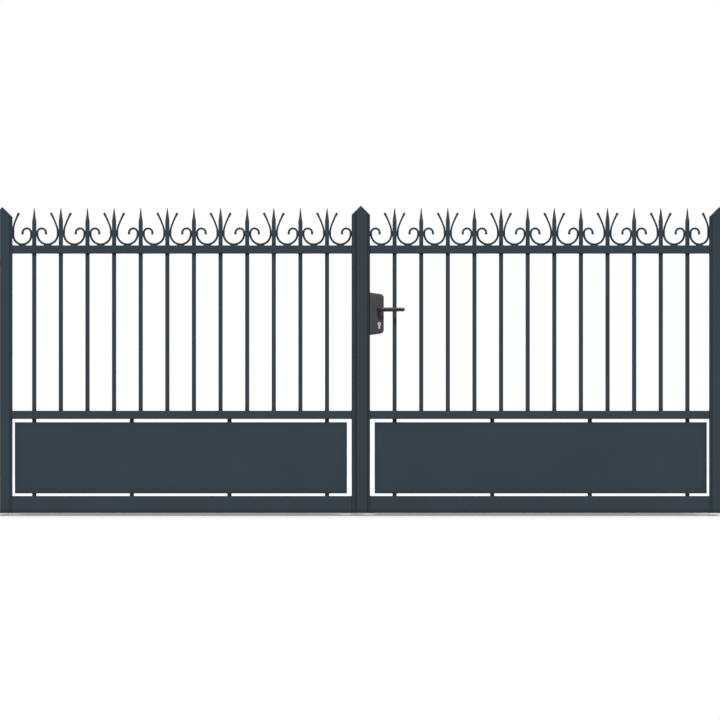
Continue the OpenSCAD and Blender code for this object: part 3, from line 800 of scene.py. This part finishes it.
class GATE_OT_levers(Operator):
    """Make the two levers, each a neck that bends into a tapering grip"""

    bl_idname = "gate.levers"
    bl_label = "Levers"

    half_depth = 6.5 * MM   # half the grip's thickness, front to back
    bend = 15 * MM   # radius of the bend from neck to grip
    end_room = 0.5 * MM   # under the length that the frame gives the lever
    squareness = 0.72   # under 1 the grip's section is squarer than an ellipse
    rings = 110

    def line(self, name, centre, facing):
        """The lever's line: straight out of the lock, round a quarter circle, and straight along the leaf."""
        low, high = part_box(name)
        outer, inner = (low[1], high[1]) if facing < 0 else (high[1], low[1])
        grip_y = outer - facing * self.half_depth
        turn = arc((centre[0] + self.bend, 0), self.bend, 180, 90, 24)
        corner = np.stack([turn[:, 0], grip_y + facing * (turn[:, 1] - self.bend)], axis=-1)
        line = np.concatenate([[(centre[0], inner)], corner, [(high[0] - self.end_room, grip_y)]])
        return np.column_stack([even_line(line, self.rings), np.full(self.rings, centre[2])])

    def sections(self, half_neck, half_height):
        """Sections along the lever: a circle at the neck grows by a smooth step into a squarish oval, which
        narrows towards its end and is rounded off there."""
        run = np.linspace(0, 1, self.rings)
        grown = np.clip((run - 0.12) / 0.22, 0, 1)
        grown = grown * grown * (3 - 2 * grown)
        taper = np.clip((run - 0.45) / 0.55, 0, 1)
        deep = half_neck + (self.half_depth - half_neck) * grown - 0.9 * MM * taper
        tall = half_neck + (half_height - half_neck) * grown - 1.8 * MM * taper ** 1.5
        end = quarter_round(1.001 - run, 0.036)
        neck = circle(40)
        grip = np.sign(neck) * np.abs(neck) ** self.squareness
        shape = neck * (1 - grown[:, None, None]) + grip * grown[:, None, None]
        return shape * np.stack([deep * end, tall * end], axis=-1)[:, None]

    def execute(self, context):
        low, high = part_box("lever_spindle")
        centre = (low + high) / 2
        half_neck = (high[0] - low[0]) / 2
        for where, facing in FACES.items():
            name = f"lever_{where}"
            bottom, top = span(name, 2)
            rings = swept(self.line(name, centre, facing), UP, self.sections(half_neck, (top - bottom) / 2))
            made = piece(name + "_grip", [(rings, False)], "lever_grip", "lever", 60)
            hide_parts(name)
        return {"FINISHED"}


class GATE_OT_hinges(Operator):
    """Make the domes of the hinge pins and the washers of the bracket bolts"""

    bl_idname = "gate.hinges"
    bl_label = "Hinge hardware"

    pin_radius = 8 * MM
    dome_height = 3.2 * MM
    dome_sunk = 2 * MM   # how far a dome's foot reaches into its pin
    pin_rise = 46 * MM   # from the lower hinge's height up to the top of its pin
    plate = 8 * MM   # thickness of a bracket's plate on the post
    half_head = 7.8 * MM   # from the middle of a bolt to the edge of its head
    bolt_pitch = 60 * MM
    washer = MM * np.array([(5, 0), (12, 0), (12, 1.6), (11.4, 2), (5, 2)])

    def dome(self):
        """Profile of a pin's rounded top: a quarter ellipse over a short sunk cylinder."""
        curve = np.radians(np.linspace(0, 90, 9))[:-1]
        rounded = np.stack([self.pin_radius * np.cos(curve), self.dome_height * np.sin(curve)], axis=-1)
        return np.concatenate([[(self.pin_radius, -self.dome_sunk)], rounded, [(0.2 * MM, self.dome_height)]])

    def execute(self, context):
        for side, way in LEAVES.items():
            joint = next(j for j in frame["joints"] if j["child"] == f"{side}_leaf")
            pin_x, _, hinge_z = joint["pos_m"]
            low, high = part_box(f"{side}_hinge_brackets")
            tops = [(pin_x, 0, hinge_z + self.pin_rise), (pin_x, 0, high[2])]
            piece(f"{side}_pin_domes", [(copies_at(turned(self.dome(), (0, 0, 0), UP), tops), False)],
                  "hinge_zinc", "posts", 30)
            face = low[0] + self.plate if way > 0 else high[0] - self.plate
            lowest, highest = span(f"{side}_bracket_bolts", 2)
            lowest, highest = lowest + self.half_head, highest - self.half_head
            bolt_zs = [lowest, lowest + self.bolt_pitch, highest - self.bolt_pitch, highest]
            rings = turned(self.washer, (0, 0, 0), (way, 0, 0), 40)
            piece(f"{side}_bolt_washers", [(copies_at(rings, [(face, 0, z) for z in bolt_zs]), False)],
                  "hinge_zinc", "posts", 30)
        return {"FINISHED"}


class GATE_OT_stage(Operator):
    """Make the floor, the soft lights, the white surround and the camera"""

    bl_idname = "gate.stage"
    bl_label = "Stage"

    reach = 9.0   # half the side of the floor
    scattered = (0.45, 0.45, 0.45, 1)   # the floor's colour for light that bounces off it onto the gate
    shown = (0.95, 0.95, 0.95, 1)   # and its colour where it is seen
    glow = 0.015   # a little light of its own, which lifts the shadow
    aside = 4 * MM   # how far the view's centre lies left of the gate's

    def floor(self, middle):
        """A pale floor that goes white where it is fully lit and keeps the gate's shadow."""
        material = bpy.data.materials.new("stage_floor")
        material.use_nodes = True
        tree = material.node_tree
        tree.nodes.clear()
        unseen = node(tree, "ShaderNodeBsdfDiffuse", {"Color": self.scattered}).outputs[0]
        lit = node(tree, "ShaderNodeBsdfDiffuse", {"Color": self.shown}).outputs[0]
        glow = node(tree, "ShaderNodeEmission", {"Color": (1, 1, 1, 1), "Strength": self.glow}).outputs[0]
        bright = node(tree, "ShaderNodeAddShader", {0: lit, 1: glow}).outputs[0]
        both = node(tree, "ShaderNodeMixShader", {0: seen(tree), 1: unseen, 2: bright}).outputs[0]
        node(tree, "ShaderNodeOutputMaterial", {0: both})
        low, high = middle - self.reach, middle + self.reach
        corners = [(low, -self.reach, 0), (high, -self.reach, 0), (high, self.reach, 0), (low, self.reach, 0)]
        mesh = bpy.data.meshes.new("stage_floor")
        mesh.from_pydata(corners, [], [(0, 1, 2, 3)])
        mesh.materials.append(material)
        linked("stage_floor", mesh)

    def sun(self, name, level, tilt, turn, spread):
        """A soft sun: tilt is its angle from straight above and turn its compass turn, in degrees."""
        data = bpy.data.lights.new(name, "SUN")
        data.energy = level
        data.angle = math.radians(spread)
        linked(name, data).rotation_euler = (math.radians(tilt), 0, math.radians(turn))

    def sky(self, level):
        """Even light from all round, seen as white by the camera and in reflections."""
        world = bpy.data.worlds.new("stage_sky")
        world.use_nodes = True
        tree = world.node_tree
        tree.nodes.clear()
        strength = ranged(tree, seen(tree), 0, 1, level, 1.0)
        sky = node(tree, "ShaderNodeBackground", {"Color": (1, 1, 1, 1), "Strength": strength}).outputs[0]
        node(tree, "ShaderNodeOutputWorld", {0: sky})
        bpy.context.scene.world = world

    def camera(self, stage, middle, underside):
        """A long lens, level, square to the gate."""
        data = bpy.data.cameras.new("stage_camera")
        data.lens = data.sensor_width * stage.camera_distance / stage.view_width
        data.clip_end = 200
        made = linked("stage_camera", data)
        front = span("left_top_rail", 1)[0]
        made.location = (middle, front - stage.camera_distance, underside + stage.view_height)
        made.rotation_euler = (math.radians(90), 0, 0)
        bpy.context.scene.camera = made

    def execute(self, context):
        scene = context.scene
        stage = scene.gate_stage
        middle = (span("left_post", 0)[0] + span("right_post", 0)[1]) / 2
        self.floor(middle)
        self.sun("stage_key", stage.key_level, tilt=45, turn=6, spread=14)
        self.sun("stage_back", stage.back_level, tilt=50, turn=172, spread=30)
        self.sky(stage.sky_level)
        self.camera(stage, middle - self.aside, span("left_bottom_rail", 2)[0])
        scene.view_settings.view_transform = "Standard"
        return {"FINISHED"}


class GATE_PT_panel(Panel):
    """Lists the steps that finish the gate, with their sizes and colours"""

    bl_idname = "GATE_PT_panel"
    bl_label = "Gate"
    bl_space_type = "VIEW_3D"
    bl_region_type = "UI"
    bl_category = "Gate"

    def draw(self, context):
        for step in STEPS:
            self.layout.operator(step.bl_idname)
        for name in GROUPS:
            group = getattr(context.scene, name)
            box = self.layout.box()
            for setting in type(group).__annotations__:
                box.prop(group, setting)


STEPS = (GATE_OT_finishes, GATE_OT_scrolls, GATE_OT_welds, GATE_OT_lock, GATE_OT_levers, GATE_OT_hinges,
         GATE_OT_stage)
GROUPS = {"gate_finishes": GateFinishes, "gate_details": GateDetails, "gate_stage": GateStage}


def register():
    """Registers the classes and hangs the three groups of settings on the scene."""
    for kind in (*GROUPS.values(), *STEPS, GATE_PT_panel):
        bpy.utils.register_class(kind)
    for name, kind in GROUPS.items():
        setattr(bpy.types.Scene, name, PointerProperty(type=kind))


def unregister():
    """Takes the settings and the classes away again."""
    for name in GROUPS:
        delattr(bpy.types.Scene, name)
    for kind in (GATE_PT_panel, *reversed(STEPS), *GROUPS.values()):
        bpy.utils.unregister_class(kind)


def main():
    """Runs every step in order."""
    register()
    for step in STEPS:
        getattr(bpy.ops.gate, step.bl_idname.removeprefix("gate."))()


if __name__ == "__main__":
    main()
